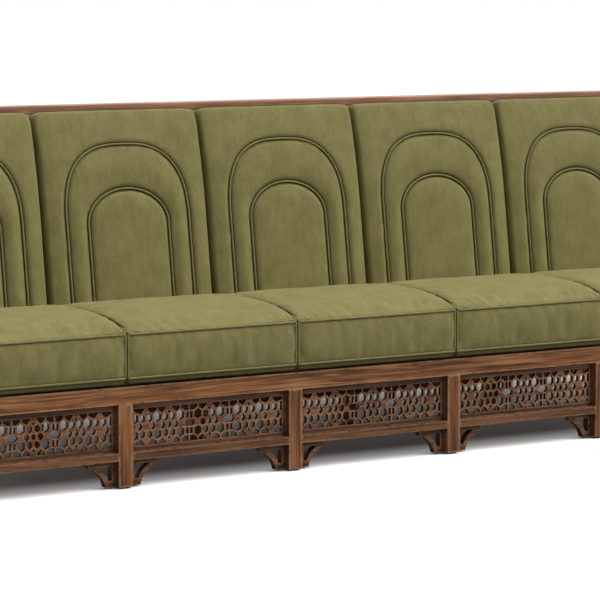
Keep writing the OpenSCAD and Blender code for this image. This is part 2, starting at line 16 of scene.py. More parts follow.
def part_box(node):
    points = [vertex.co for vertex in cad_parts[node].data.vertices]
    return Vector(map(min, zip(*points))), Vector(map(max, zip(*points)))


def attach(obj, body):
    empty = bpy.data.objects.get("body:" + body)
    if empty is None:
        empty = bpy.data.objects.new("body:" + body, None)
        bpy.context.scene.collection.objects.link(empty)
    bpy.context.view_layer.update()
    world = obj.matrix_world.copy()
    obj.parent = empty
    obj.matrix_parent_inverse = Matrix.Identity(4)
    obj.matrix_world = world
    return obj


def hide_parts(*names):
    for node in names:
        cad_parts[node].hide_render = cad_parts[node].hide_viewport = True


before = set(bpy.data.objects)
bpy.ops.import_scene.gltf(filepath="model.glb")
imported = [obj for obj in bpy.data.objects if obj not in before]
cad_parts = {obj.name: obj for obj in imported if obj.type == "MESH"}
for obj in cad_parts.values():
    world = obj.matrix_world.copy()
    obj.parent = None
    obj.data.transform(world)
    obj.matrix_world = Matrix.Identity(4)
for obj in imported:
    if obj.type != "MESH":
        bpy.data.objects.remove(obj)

LOG = logging.getLogger("bench")
MM = 0.001
CLOTH_SLOT = "olive_fabric"
Pair = tuple[float, float]
Triple = tuple[float, float, float]
Line = list[Pair]
Value = float | Sequence[float] | NodeSocket


class Grain(Enum):
    """Which way the grain of a timber piece runs, as the turn that brings it to lie along x."""

    ALONG_X = (0.0, 0.0, 0.0)
    ALONG_Z = (0.0, math.pi / 2, 0.0)
    ALONG_Y = (0.0, 0.0, math.pi / 2)


# Shader trees


@dataclass
class Wiring:
    """Adds nodes to one shader tree and links them."""

    tree: NodeTree

    def node(self, kind: str, inputs: dict[str | int, Value] | None = None, **settings) -> Node:
        """Adds a node.

        Args:
            kind: the node's type, without the prefix that all shader nodes share.
            inputs: values or sockets for its inputs, by name or index.
            settings: properties of the node itself.

        Returns:
            The new node.
        """
        node = self.tree.nodes.new("ShaderNode" + kind)
        for key, value in settings.items():
            setattr(node, key, value)
        self.feed(node.inputs, inputs or {})
        return node

    def feed(self, sockets: dict, values: dict[str | int, Value]) -> None:
        """Links sockets into inputs, or writes plain values there."""
        for key, value in values.items():
            if isinstance(value, NodeSocket):
                self.tree.links.new(value, sockets[key])
            else:
                sockets[key].default_value = value

    def math(self, operation: str, *values: Value) -> NodeSocket:
        """Adds a Math node and returns its result."""
        return self.node("Math", dict(enumerate(values)), operation=operation).outputs[0]

    def times(self, first: Value, second: Value) -> NodeSocket:
        """Multiplies two values."""
        return self.math("MULTIPLY", first, second)

    def times_plus(self, first: Value, second: Value, third: Value) -> NodeSocket:
        """Multiplies two values and adds a third one."""
        return self.math("MULTIPLY_ADD", first, second, third)

    def mix(self, share: Value, first: Value, second: Value, mode: str = "MIX") -> NodeSocket:
        """Mixes two colours by a share and returns the colour."""
        inputs = {0: share, 6: first, 7: second}
        return self.node("Mix", inputs, data_type="RGBA", blend_type=mode).outputs[2]

    def over(self, below: Value, mask: Value, depth: float, tint: Triple) -> NodeSocket:
        """Lays a tint over a colour where a mask is, as strongly as the depth says."""
        return self.mix(self.times(mask, depth), below, (*tint, 1))

    def between(
        self, value: Value, low: float, high: float, to_low: float = 0.0, to_high: float = 1.0
    ) -> NodeSocket:
        """Maps a value's range smoothly onto another one and returns the result."""
        inputs = dict(enumerate((value, low, high, to_low, to_high)))
        return self.node("MapRange", inputs, interpolation_type="SMOOTHSTEP", clamp=True).outputs[0]

    def noise(self, place: Value, scale: float, detail: float = 2.0, rough: float = 0.5) -> NodeSocket:
        """Adds a Noise texture and returns its value."""
        inputs = {"Vector": place, "Scale": scale, "Detail": detail, "Roughness": rough}
        return self.node("TexNoise", inputs).outputs[0]

    def stretched(self, place: Value, scale: Triple, turn: Triple = (0, 0, 0)) -> NodeSocket:
        """Turns a place and scales it along the three axes."""
        turned = self.node("VectorRotate", {"Vector": place, "Rotation": turn}, rotation_type="EULER_XYZ")
        return self.node("Mapping", {"Vector": turned.outputs[0], "Scale": scale}).outputs[0]

    def streaks(self, place: Value, scale: Triple, detail: float = 2.0, rough: float = 0.5) -> NodeSocket:
        """Adds a Noise texture that is stretched along the axes and returns its value."""
        return self.noise(self.stretched(place, scale), 1.0, detail, rough)

    def bump(self, height: Value, distance: float) -> NodeSocket:
        """Adds a Bump node for a height and returns its normal."""
        return self.node("Bump", {"Height": height, "Distance": distance, "Strength": 1.0}).outputs[0]

    def body(self) -> NodeSocket:
        """Returns the place on the piece, in the part's frame."""
        return self.node("TexCoord").outputs["Object"]

    def group(self, tree: Callable[[], NodeTree], inputs: dict[str, Value]) -> dict:
        """Adds a node group and returns its outputs."""
        return self.node("Group", inputs, node_tree=tree()).outputs


def effect(name: str, inputs: dict[str, str], outputs: Sequence[str]) -> Callable:
    """Turns a function that adds nodes into one that returns a node group, built once.

    Args:
        name: the group's name.
        inputs: socket types of its inputs, by name.
        outputs: names of its outputs, which are plain values.

    Returns:
        The decorator of that function.
    """

    def decorate(build: Callable[[Wiring, dict, dict], None]) -> Callable[[], NodeTree]:
        """Wraps the function that adds the nodes between the group's two ends."""

        def tree_of() -> NodeTree:
            """Builds the group once, or finds it again."""
            found = bpy.data.node_groups.get(name)
            if found:
                return found
            tree = bpy.data.node_groups.new(name, "ShaderNodeTree")
            for label, kind in inputs.items():
                tree.interface.new_socket(name=label, in_out="INPUT", socket_type="NodeSocket" + kind)
            for label in outputs:
                tree.interface.new_socket(name=label, in_out="OUTPUT", socket_type="NodeSocketFloat")
            start, end = tree.nodes.new("NodeGroupInput"), tree.nodes.new("NodeGroupOutput")
            build(Wiring(tree), start.outputs, end.inputs)
            return tree

        return tree_of

    return decorate


@effect("plain_weave", {"Place": "Vector", "Yarns per metre": "Float"}, ("Height", "Over", "Fibres"))
def weave_effect(wiring: Wiring, given: dict, wanted: dict) -> None:
    """Plain weave: two sets of yarns that pass over and under each other."""
    inputs = {0: given["Place"], 3: given["Yarns per metre"]}
    cells = wiring.node("VectorMath", inputs, operation="SCALE").outputs[0]
    across, along, _ = wiring.node("SeparateXYZ", {0: cells}).outputs
    steps = wiring.math("ADD", wiring.math("FLOOR", across), wiring.math("FLOOR", along))
    over = wiring.math("PINGPONG", steps, 1.0)
    humps = [wiring.math("ABSOLUTE", wiring.math("SINE", wiring.times(v, math.pi))) for v in (across, along)]
    round_humps = [wiring.math("POWER", hump, 0.7) for hump in humps]
    long_humps = [wiring.math("POWER", hump, 0.3) for hump in humps]
    warp = wiring.times(round_humps[0], long_humps[1])
    weft = wiring.times(round_humps[1], long_humps[0])
    under = wiring.math("SUBTRACT", 1.0, over)
    height = wiring.math("ADD", wiring.times(warp, over), wiring.times(weft, under))
    fibres = wiring.streaks(cells, (3.0, 3.0, 3.0), 2.0, 0.6)
    wiring.feed(wanted, {"Height": wiring.times_plus(fibres, 0.3, height), "Over": over, "Fibres": fibres})


@effect("cloth_mottle", {"Place": "Vector"}, ("Value",))
def mottle_effect(wiring: Wiring, given: dict, wanted: dict) -> None:
    """Soft blotches with upright streaks, as a nap that lies this way and that."""
    place = given["Place"]
    blotches = wiring.noise(place, 16.0, 3.0, 0.55)
    streaks = wiring.streaks(place, (75.0, 75.0, 13.0))
    speckle = wiring.noise(place, 190.0, 1.0)
    value = wiring.times_plus(streaks, 0.45, wiring.times(blotches, 0.75))
    value = wiring.times_plus(speckle, 0.3, value)
    wiring.feed(wanted, {"Value": wiring.math("SUBTRACT", value, 0.75)})


# Painted shade beside seams: full within the first distance, gone beyond the second.
CREASE_SHADE = (0.001, 0.006)
STITCHES_AWAY = 0.0075
STITCH_EDGE = (0.0003, 0.0009)
STITCH_STEP = 0.005


@effect("stitched_seam", {"Gap": "Float", "Run": "Float"}, ("Crease", "Stitches"))
def seam_effect(wiring: Wiring, given: dict, wanted: dict) -> None:
    """Painted shade in the crease beside a seam, and the row of stitches that runs along it."""
    crease_shade = wiring.between(given["Gap"], *CREASE_SHADE, 1.0, 0.0)
    beside = wiring.math("ABSOLUTE", wiring.math("SUBTRACT", given["Gap"], STITCHES_AWAY))
    row = wiring.between(beside, *STITCH_EDGE, 1.0, 0.0)
    dashes = wiring.math("SINE", wiring.times(given["Run"], 2 * math.pi / STITCH_STEP))
    stitches = wiring.times(row, wiring.between(dashes, -0.35, 0.05))
    wiring.feed(wanted, {"Crease": crease_shade, "Stitches": stitches})


@effect("timber_grain", {"Place": "Vector"}, ("Tone", "Lines", "Pores"))
def grain_effect(wiring: Wiring, given: dict, wanted: dict) -> None:
    """Timber with its grain along x: broad figure, fine streaks and open pores."""
    place = given["Place"]
    sway = wiring.streaks(place, (1.1, 7.0, 7.0))
    swayed = wiring.node("CombineXYZ", {1: wiring.times(sway, 0.05), 2: wiring.times(sway, 0.05)})
    bent = wiring.node("VectorMath", {0: place, 1: swayed.outputs[0]}, operation="ADD").outputs[0]
    figure = wiring.streaks(bent, (2.2, 74.0, 74.0), 3.0, 0.6)
    streaks = wiring.streaks(bent, (5.0, 260.0, 260.0), 2.0, 0.55)
    pores = wiring.streaks(place, (42.0, 1300.0, 1300.0), 1.0)
    cloud = wiring.noise(place, 5.0)
    tone = wiring.times_plus(streaks, 0.5, wiring.times(figure, 0.6))
    wiring.feed(wanted, {
        "Tone": wiring.between(wiring.times_plus(cloud, 0.25, tone), 0.47, 0.89),
        "Lines": wiring.between(figure, 0.33, 0.46, 1.0, 0.0),
        "Pores": wiring.between(pores, 0.3, 0.42, 1.0, 0.0),
    })


@effect("painted_edge_highlight", {"Place": "Vector", "Width": "Float"}, ("Mask",))
def edge_highlight_effect(wiring: Wiring, given: dict, wanted: dict) -> None:
    """Mask of the outer edges, painted lighter as a highlight, broken up in patches by noise."""
    width = {"Distance": given["Width"]}
    within = wiring.node("AmbientOcclusion", width, samples=4, inside=True, only_local=True)
    breakup = wiring.noise(given["Place"], 45.0, 3.0, 0.6)
    edge = wiring.between(within.outputs["AO"], 0.6, 0.92, 1.0, 0.0)
    wiring.feed(wanted, {"Mask": wiring.times(edge, wiring.between(breakup, 0.3, 0.6))})


@effect("painted_corner_shade", {"Reach": "Float"}, ("Mask",))
def corner_shade_effect(wiring: Wiring, given: dict, wanted: dict) -> None:
    """Mask of narrow openings, inner corners and joints, where light hardly reaches, for painted shade."""
    free = wiring.node("AmbientOcclusion", {"Distance": given["Reach"]}, samples=6).outputs["AO"]
    wiring.feed(wanted, {"Mask": wiring.between(free, 0.5, 0.95, 1.0, 0.0)})


# Finishes


@dataclass(frozen=True)
class Finish:
    """What every finish of the bench shares: its name, and the making of its material."""

    name: str

    def material(self) -> Material:
        """Builds the material once, or finds it again."""
        found = bpy.data.materials.get(self.name)
        if found:
            return found
        made = bpy.data.materials.new(self.name)
        made.use_nodes = True
        made.node_tree.nodes.clear()
        wiring = Wiring(made.node_tree)
        shader = wiring.node("BsdfPrincipled")
        wiring.node("OutputMaterial", {"Surface": shader.outputs[0]})
        wiring.feed(shader.inputs, self.dress(wiring))
        return made

    def dress(self, wiring: Wiring) -> dict[str, Value]:
        """Works out the shader's inputs. Each kind of finish has its own way."""
        raise NotImplementedError


SHEEN = {"Specular IOR Level": 0.25, "Sheen Roughness": 0.45, "Sheen Tint": (0.86, 0.82, 0.36, 1)}


@dataclass(frozen=True)
class WovenCloth(Finish):
    """Woven upholstery cloth with a nap, creased and stitched along its seams, with shade painted into the
    creases and narrow gaps.
    """

    deep: Triple = (0.11, 0.094, 0.022)
    pale: Triple = (0.335, 0.298, 0.118)
    # Colour of the painted shade in creases and narrow gaps; the stitches' thread takes it too.
    crease_shade: Triple = (0.05, 0.041, 0.011)
    crease_shade_depth: float = 0.75
    stitch_depth: float = 0.6
    stitch_dent: float = 1.2
    yarns: float = 285.0
    weave_tone: float = 0.95
    mottle_tone: float = 1.25
    # Painted shade in narrow gaps and under the cushions' lower rolls: tone, strength and reach.
    gap_shade_tone: float = 0.3
    gap_shade_depth: float = 0.8
    gap_shade_reach: float = 0.012
    relief: float = 0.0007
    sheen: float = 0.28

    def dress(self, wiring: Wiring) -> dict[str, Value]:
        """Weaves, mottles and stitches the cloth, and paints shade into its creases and gaps."""
        flat = wiring.node("UVMap", uv_map="cut").outputs[0]
        beside = wiring.node("Attribute", attribute_name="seam_gap").outputs["Fac"]
        run = wiring.node("Attribute", attribute_name="seam_run").outputs["Fac"]
        weave = wiring.group(weave_effect, {"Place": flat, "Yarns per metre": self.yarns})
        mottle = wiring.group(mottle_effect, {"Place": wiring.body()})
        seam = wiring.group(seam_effect, {"Gap": beside, "Run": run})
        gap = wiring.group(corner_shade_effect, {"Reach": self.gap_shade_reach})
        tone = wiring.times_plus(weave["Over"], self.weave_tone, 0.5 - self.weave_tone / 2)
        tone = wiring.times_plus(mottle["Value"], self.mottle_tone, tone)
        colour = wiring.mix(tone, (*self.deep, 1), (*self.pale, 1))
        colour = wiring.over(colour, seam["Crease"], self.crease_shade_depth, self.crease_shade)
        colour = wiring.over(colour, seam["Stitches"], self.stitch_depth, self.crease_shade)
        # Paints shade where the gap mask says light hardly reaches.
        sunless = tuple(self.gap_shade_tone * c for c in self.crease_shade)
        dents = wiring.times_plus(seam["Stitches"], -self.stitch_dent, weave["Height"])
        return {
            "Base Color": wiring.over(colour, gap["Mask"], self.gap_shade_depth, sunless),
            "Roughness": wiring.times_plus(weave["Fibres"], 0.15, 0.78),
            "Normal": wiring.bump(dents, self.relief), "Sheen Weight": self.sheen, **SHEEN,
        }


@dataclass(frozen=True)
class PipingCloth(Finish):
    """The same cloth cut into narrow strips and sewn round a cord."""

    deep: Triple = (0.13, 0.112, 0.038)
    pale: Triple = (0.32, 0.286, 0.115)
    turns: float = 190.0
    slope: float = 0.9
    relief: float = 0.0003
    sheen: float = 0.25

    def dress(self, wiring: Wiring) -> dict[str, Value]:
        """Runs the yarns slanting round the cord."""
        cut = wiring.node("UVMap", uv_map="cut").outputs[0]
        along, round_it, _ = wiring.node("SeparateXYZ", {0: cut}).outputs
        slant = wiring.times_plus(round_it, self.slope, along)
        ribs = wiring.math("SINE", wiring.times(slant, 2 * math.pi * self.turns))
        fuzz = wiring.noise(wiring.body(), 60.0, 3.0, 0.6)
        tone = wiring.times_plus(ribs, 0.2, fuzz)
        return {
            "Base Color": wiring.mix(tone, (*self.deep, 1), (*self.pale, 1)),
            "Roughness": wiring.times_plus(fuzz, 0.15, 0.75),
            "Normal": wiring.bump(ribs, self.relief), "Sheen Weight": self.sheen, **SHEEN,
        }


@dataclass(frozen=True)
class Timber(Finish):
    """Oiled solid timber, its grain laid along the piece."""

    grain: Grain
    dark: Triple = (0.06, 0.021, 0.008)
    middle: Triple = (0.226, 0.086, 0.028)
    light: Triple = (0.4, 0.186, 0.075)
    # Painted highlight along the outer edges: its colour and how strongly it lies there.
    worn: Triple = (0.5, 0.29, 0.165)
    highlight_depth: float = 0.8
    line_depth: float = 0.45
    pore_tone: float = 0.35
    edge_width: float = 0.007
    # Painted shade in corners, joints and the fretwork's cut openings: how dark, how strong, how far it
    # reaches.
    corner_shade_tone: float = 0.2
    corner_shade_depth: float = 0.6
    corner_shade_reach: float = 0.022
    gloss: Pair = (0.38, 0.56)
    pore_depth: float = 0.00012
    start: float = 0.0

    def dress(self, wiring: Wiring) -> dict[str, Value]:
        """Lays figure, dark lines, pores, painted shade in corners and joints, and painted highlights on
        outer edges over each other.
        """
        body = wiring.body()
        inputs = {0: wiring.stretched(body, (1, 1, 1), self.grain.value), 1: (self.start, self.start, 0)}
        place = wiring.node("VectorMath", inputs, operation="ADD").outputs[0]
        grain = wiring.group(grain_effect, {"Place": place})
        # Painted highlight along the outer edges, broken up by noise.
        edge = wiring.group(edge_highlight_effect, {"Place": body, "Width": self.edge_width})
        # Painted shade in corners, joints and narrow openings.
        corner = wiring.group(corner_shade_effect, {"Reach": self.corner_shade_reach})
        ramp = wiring.node("ValToRGB", {0: grain["Tone"]})
        stops = ramp.color_ramp.elements
        stops[0].color = (*self.dark, 1)
        stops[1].color = (*self.light, 1)
        stops.new(0.5).color = (*self.middle, 1)
        colour = wiring.over(ramp.outputs[0], grain["Lines"], self.line_depth, self.dark)
        colour = wiring.over(colour, grain["Pores"], self.pore_tone, self.dark)
        # Darkens the colour where the corner mask says light hardly reaches: painted shade.
        corner_shade_colour = tuple(self.corner_shade_tone * c for c in self.dark)
        colour = wiring.over(colour, corner["Mask"], self.corner_shade_depth, corner_shade_colour)
        height = wiring.times_plus(grain["Pores"], -1.0, wiring.times(grain["Tone"], 0.6))
        return {
            "Base Color": wiring.over(colour, edge["Mask"], self.highlight_depth, self.worn),
            "Roughness": wiring.between(grain["Tone"], 0.0, 1.0, self.gloss[1], self.gloss[0]),
            "Normal": wiring.bump(height, self.pore_depth), "Specular IOR Level": 0.3,
        }


@dataclass(frozen=True)
class Moulded(Finish):
    """Moulded plastic with a fine grained skin."""

    colour: Triple = (0.018, 0.018, 0.019)
    skin: float = 0.00008

    def dress(self, wiring: Wiring) -> dict[str, Value]:
        """Adds the fine skin and faint scuffs."""
        body = wiring.body()
        scuffs = wiring.noise(body, 90.0, 3.0, 0.6)
        paler = tuple(4 * c for c in self.colour)
        return {
            "Base Color": wiring.mix(wiring.between(scuffs, 0.5, 0.8), (*self.colour, 1), (*paler, 1)),
            "Roughness": wiring.times_plus(scuffs, 0.25, 0.4),
            "Normal": wiring.bump(wiring.noise(body, 2600.0, 1.0), self.skin),
        }


@dataclass(frozen=True)
class Plated(Finish):
    """Brass screws, dulled in patches."""

    bright: Triple = (0.56, 0.42, 0.18)
    dull: Triple = (0.26, 0.18, 0.08)
    skin: float = 0.00004

    def dress(self, wiring: Wiring) -> dict[str, Value]:
        """Mixes bright and dull patches."""
        body = wiring.body()
        patches = wiring.between(wiring.noise(body, 420.0, 3.0, 0.6), 0.35, 0.7)
        return {
            "Base Color": wiring.mix(patches, (*self.bright, 1), (*self.dull, 1)),
            "Roughness": wiring.times_plus(patches, 0.25, 0.28),
            "Normal": wiring.bump(wiring.streaks(body, (300, 300, 4000), 1.0), self.skin), "Metallic": 1.0,
        }


CUSHION_CLOTH = WovenCloth("olive_weave")
PIPING = PipingCloth("olive_piping")
RAILS = Timber("walnut_rails", Grain.ALONG_X, middle=(0.242, 0.091, 0.029), light=(0.43, 0.2, 0.08))
# The low rails' walnut painted darker, as painted shade from the top rail and seat above.
LOW_RAILS_SHADED = Timber(
    "walnut_low_rails_painted_shade", Grain.ALONG_X, dark=(0.045, 0.016, 0.006), middle=(0.135, 0.05, 0.019),
    light=(0.24, 0.108, 0.048), highlight_depth=0.5, start=5.2,
)
POSTS = Timber("walnut_posts", Grain.ALONG_Z, start=0.7)
FRETWORK = Timber(
    "walnut_fretwork", Grain.ALONG_X, middle=(0.2, 0.078, 0.03), light=(0.37, 0.17, 0.078), edge_width=0.0035,
    corner_shade_depth=0.92, corner_shade_reach=0.03, start=1.9,
)
CROSS_RAILS = Timber("walnut_cross_rails", Grain.ALONG_Y, start=2.6)
# The cap rail's walnut painted paler, as a painted highlight on the top of the back.
CAP_LIT = Timber(
    "walnut_cap_painted_highlight", Grain.ALONG_X, dark=(0.27, 0.13, 0.08), middle=(0.38, 0.19, 0.117), light=(0.54, 0.3, 0.19),
    highlight_depth=0.3, start=8.1,
)
PLYWOOD = Timber(
    "birch_plywood", Grain.ALONG_X, dark=(0.3, 0.19, 0.1), middle=(0.48, 0.34, 0.2), light=(0.62, 0.47, 0.31),
    worn=(0.6, 0.48, 0.33), gloss=(0.55, 0.68), start=4.1,
)
BEECH = Timber(
    "beech_dowels", Grain.ALONG_Y, dark=(0.4, 0.25, 0.13), middle=(0.58, 0.4, 0.23), light=(0.7, 0.52, 0.33),
    gloss=(0.5, 0.6),
)
PLASTIC = Moulded("black_plastic")
BRASS = Plated("brass_screws")


# Places


@dataclass(frozen=True)
class BenchPlan:
    """The bench's shared places. Sizes are in millimetres: x from a bay's middle, y back from the posts'
    faces, z up; on the back's slope, out is the distance in front of the cushions' rear face."""

    bays: int = 5
    width: float = 600.0
    recline: float = math.radians(8.4)
    slope_y: float = 564.862
    slope_z: float = 327.3
    back_height: float = 794.0
    spring: float = 420.0
    top_loss: float = 1 - 56 / 88
    shift: float = field(default_factory=lambda: -12.0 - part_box("seat_cushion_1")[0].y / MM)

    def middle(self, bay: int) -> float:
        """Where the middle of a bay lies along x, in metres."""
        low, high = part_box(f"seat_cushion_{bay}")
        return (low.x + high.x) / 2

    def place(self, x: float, y: float, z: float) -> Vector:
        """A point of the middle of the bench in the part's frame, in metres."""
        return Vector((x, y - self.shift, z)) * MM

    def slope(self, x: float, out: float, up: float) -> Vector:
        """A point given on the slope of the back, in the part's frame, in metres."""
        sin, cos = math.sin(self.recline), math.cos(self.recline)
        return self.place(x, self.slope_y - out * cos + up * sin, self.slope_z + out * sin + up * cos)

    def thin(self, up: float) -> float:
        """Share of a back cushion's full thickness that is left at a height up the slope."""
        return 1 - self.top_loss * (max(0.0, up - self.spring) / (self.back_height - self.spring)) ** 2

    def plane_y(self, out: float, z: float) -> float:
        """Distance back of the plane that lies out in front of the slope, at height z, in millimetres."""
        return self.slope_y - out / math.cos(self.recline) + (z - self.slope_z) * math.tan(self.recline)


PLAN = BenchPlan()


def eased(share: float, tightness: float) -> float:
    """A share that takes smaller steps near both of its ends."""
    return share - tightness * math.sin(2 * math.pi * share) / (2 * math.pi)


def soft_box(half_width: float, half_depth: float, power: float, count: int) -> Line:
    """Points round a rectangle with rounded corners, closest together in the corners.

    Args:
        half_width: half its width.
        half_depth: half its depth.
        power: how square it is, 2 for an ellipse.
        count: how many points.

    Returns:
        The points, anticlockwise from the middle of the right side.
    """
    fine = 4000
    dense: Line = []
    for i in range(fine + 1):
        a = 2 * math.pi * i / fine
        c, s = math.cos(a), math.sin(a)
        r = ((abs(c) / half_width) ** power + (abs(s) / half_depth) ** power) ** (-1 / power)
        dense.append((r * c, r * s))
    return spaced(dense, count + 1)[:-1]


def spaced(line: Sequence[Pair], count: int, turn_worth: float = 60.0) -> Line:
    """Picks points along a fine line, with more of them where it turns.

    Args:
        line: the fine line.
        count: how many points to pick, both ends among them.
        turn_worth: the length that a turn by one radian counts for.

    Returns:
        The points.
    """
    spent = [0.0]
    heading = None
    for (ax, ay), (bx, by) in zip(line, line[1:]):
        new_heading = math.atan2(by - ay, bx - ax)
        turn = 0.0 if heading is None else abs(math.remainder(new_heading - heading, 2 * math.pi))
        spent.append(spent[-1] + math.hypot(bx - ax, by - ay) + turn_worth * turn)
        heading = new_heading
    picked = []
    i = 0
    for k in range(count):
        goal = spent[-1] * k / (count - 1)
        while i < len(spent) - 2 and spent[i + 1] < goal:
            i += 1
        share = (goal - spent[i]) / max(spent[i + 1] - spent[i], 1e-9)
        picked.append(tuple(a + (b - a) * share for a, b in zip(line[i], line[i + 1])))
    return picked


# Pieces


@dataclass
class Piece:
    """A finished mesh and what it is to the bench."""

    name: str
    body: str
    slot: str
    finish: Finish
    levels: int = 0
    nodes: tuple[str, ...] = ()
    fill: float | None = None

    def place(self, mesh: Mesh) -> Object:
        """Puts the mesh into the scene as this piece.

        Args:
            mesh: the mesh, already in the part's frame.

        Returns:
            The piece's object.
        """
        mesh.name = self.name
        mesh.materials.clear()
        mesh.materials.append(self.finish.material())
        mesh.polygons.foreach_set("use_smooth", [True] * len(mesh.polygons))
        piece = bpy.data.objects.new(self.name, mesh)
        bpy.context.scene.collection.objects.link(piece)
        if self.levels:
            smooth = piece.modifiers.new("smooth", "SUBSURF")
            smooth.levels = smooth.render_levels = self.levels
        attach(piece, self.body)
        if self.nodes:
            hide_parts(*self.nodes)
        LOG.info("%s: %d faces on %s", self.name, len(mesh.polygons), self.body)
        return piece


def to_mesh(shape: BMesh, name: str) -> Mesh:
    """Closes a bmesh into a mesh with its faces outwards."""
    bmesh.ops.recalc_face_normals(shape, faces=shape.faces)
    mesh = bpy.data.meshes.new(name)
    shape.to_mesh(mesh)
    shape.free()
    return mesh


def extruded(
    shape: BMesh, edges: Sequence[BMEdge], row: Sequence[BMVert]
) -> tuple[list[BMVert], list[BMEdge]]:
    """Extrudes a row of joined edges.

    Args:
        shape: the mesh that the row is in.
        edges: the edges.
        row: their points.

    Returns:
        The new points in the order of the old ones, and the edges between them.
    """
    made = bmesh.ops.extrude_edge_only(shape, edges=edges)["geom"]
    fresh = {part for part in made if isinstance(part, BMVert)}
    ring = [next(e.other_vert(v) for e in v.link_edges if e.other_vert(v) in fresh) for v in row]
    return ring, [part for part in made if isinstance(part, BMEdge) and set(part.verts) <= fresh]


@dataclass(frozen=True)
class Stuffing:
    """How hard a cover is blown out against its seams, and how far it may go."""

    cap: float
    pressure: float = 4.0
    slack: float = 0.02
    stiffness: float = 12.0
    frames: int = 20
    quality: int = 6
    mass: float = 0.3
    bending: float = 0.4
    damping: float = 2.0

    def swell(self, mesh: Mesh, held: Sequence[int]) -> list[Vector]:
        """Runs the cover as cloth under pressure.

        Args:
            mesh: the closed cover.
            held: the points that its seams hold.

        Returns:
            How far each point moves, softly capped.
        """
        scene = bpy.context.scene
        cover = bpy.data.objects.new("swelling_cover", mesh.copy())
        scene.collection.objects.link(cover)
        cover.vertex_groups.new(name="held").add(list(held), 1.0, "REPLACE")
        cloth = cover.modifiers.new("cloth", "CLOTH")
        settings = cloth.settings
        settings.quality = self.quality
        settings.mass = self.mass
        settings.tension_stiffness = settings.compression_stiffness = self.stiffness
        settings.shear_stiffness = self.stiffness / 3
        settings.bending_stiffness = self.bending
        settings.air_damping = self.damping
        settings.use_pressure = True
        settings.uniform_pressure_force = self.pressure
        settings.shrink_min = -self.slack
        settings.effector_weights.gravity = 0.0
        settings.vertex_group_mass = "held"
        settings.pin_stiffness = 1.0
        cloth.collision_settings.use_collision = False
        cloth.point_cache.frame_start = 1
        cloth.point_cache.frame_end = self.frames
        for step in range(1, self.frames + 1):
            scene.frame_set(step)
        swollen = cover.evaluated_get(bpy.context.evaluated_depsgraph_get()).data
        moves = [after.co - before.co for before, after in zip(mesh.vertices, swollen.vertices)]
        bpy.data.objects.remove(cover)
        scene.frame_set(1)
        LOG.info("swelling: %.1f mm at most", max(m.length for m in moves) / MM)
        return [self.capped(move) for move in moves]

    def capped(self, move: Vector) -> Vector:
        """Shortens a move softly, so that it stays below the cap."""
        far = move.length
        return move * (math.tanh(far / self.cap) * self.cap / far) if far > 1e-9 else move


@dataclass
class Cord:
    """Piping: a round cord swept along a line, its cloth measured along and round it."""

    radius: float = 3.3
    sides: int = 10
    shape: BMesh = field(default_factory=bmesh.new)

    def sweep(self, line: Sequence[Vector], up: Vector, closed: bool) -> None:
        """Adds one cord.

        Args:
            line: its centre line, in metres.
            up: a direction that the line never takes.
            closed: whether its end joins its start.
        """
        shape, count = self.shape, len(line)
        cut = shape.loops.layers.uv.get("cut") or shape.loops.layers.uv.new("cut")
        radius = self.radius * MM
        rings: list[list[BMVert]] = []
        runs = [0.0]
        edges: list[BMEdge] = []
        last = Matrix()
        for i, point in enumerate(line):
            before = line[i - 1] if i or closed else point
            after = line[(i + 1) % count] if i < count - 1 or closed else point
            tangent = (after - before).normalized()
            side = up.cross(tangent).normalized()
            turned = Matrix((side, tangent.cross(side), tangent)).transposed().to_4x4()
            turned.translation = point
            if i == 0:
                made = bmesh.ops.create_circle(shape, segments=self.sides, radius=radius, matrix=turned)
                ring = made["verts"]
                edges = list({edge for vert in ring for edge in vert.link_edges})
            else:
                ring, edges = extruded(shape, edges, rings[-1])
                bmesh.ops.transform(shape, matrix=turned @ last.inverted(), verts=ring)
                runs.append(runs[-1] + (point - line[i - 1]).length)
            rings.append(ring)
            last = turned
        ends = [[a for a in (shape.edges.get((r[k], r[(k + 1) % len(r)])) for k in range(len(r))) if a]
                for r in (rings[0], rings[-1])]
        total = runs[-1] + (line[0] - line[-1]).length
        if closed:
            bmesh.ops.bridge_loops(shape, edges=ends[0] + ends[1])
        else:
            for end in ends:
                bmesh.ops.edgeloop_fill(shape, edges=end)
        measured = {vert: (run, math.tau * k / self.sides * radius)
                    for ring, run in zip(rings, runs) for k, vert in enumerate(ring)}
        girth = math.tau * radius
        for face in {face for ring in rings for vert in ring for face in vert.link_faces}:
            places = [measured[loop.vert] for loop in face.loops]
            wraps = [max(p[axis] for p in places) - min(p[axis] for p in places) > full / 2
                     for axis, full in ((0, total), (1, girth))]
            for loop, spot in zip(face.loops, places):
                run = spot[0] + (total if wraps[0] and closed and spot[0] < total / 2 else 0)
                turn = spot[1] + (girth if wraps[1] and spot[1] < girth / 2 else 0)
                loop[cut].uv = (run, turn)


@dataclass(frozen=True)
class Lumps:
    """Soft lumps of the filling, others in each bay, that die away beside a seam."""

    pitch: float
    bay_step: float
    start: float
    seam_reach: float
    height: float = 2.0 * MM

    def at(self, spot: Vector, bay: int, gap: float) -> float:
        """Height at a spot of a bay's cushion that lies gap millimetres from a seam."""
        wave = noise.noise(spot * self.pitch + Vector((bay * self.bay_step, 0, self.start)))
        return wave * min(1.0, gap / self.seam_reach) * self.height


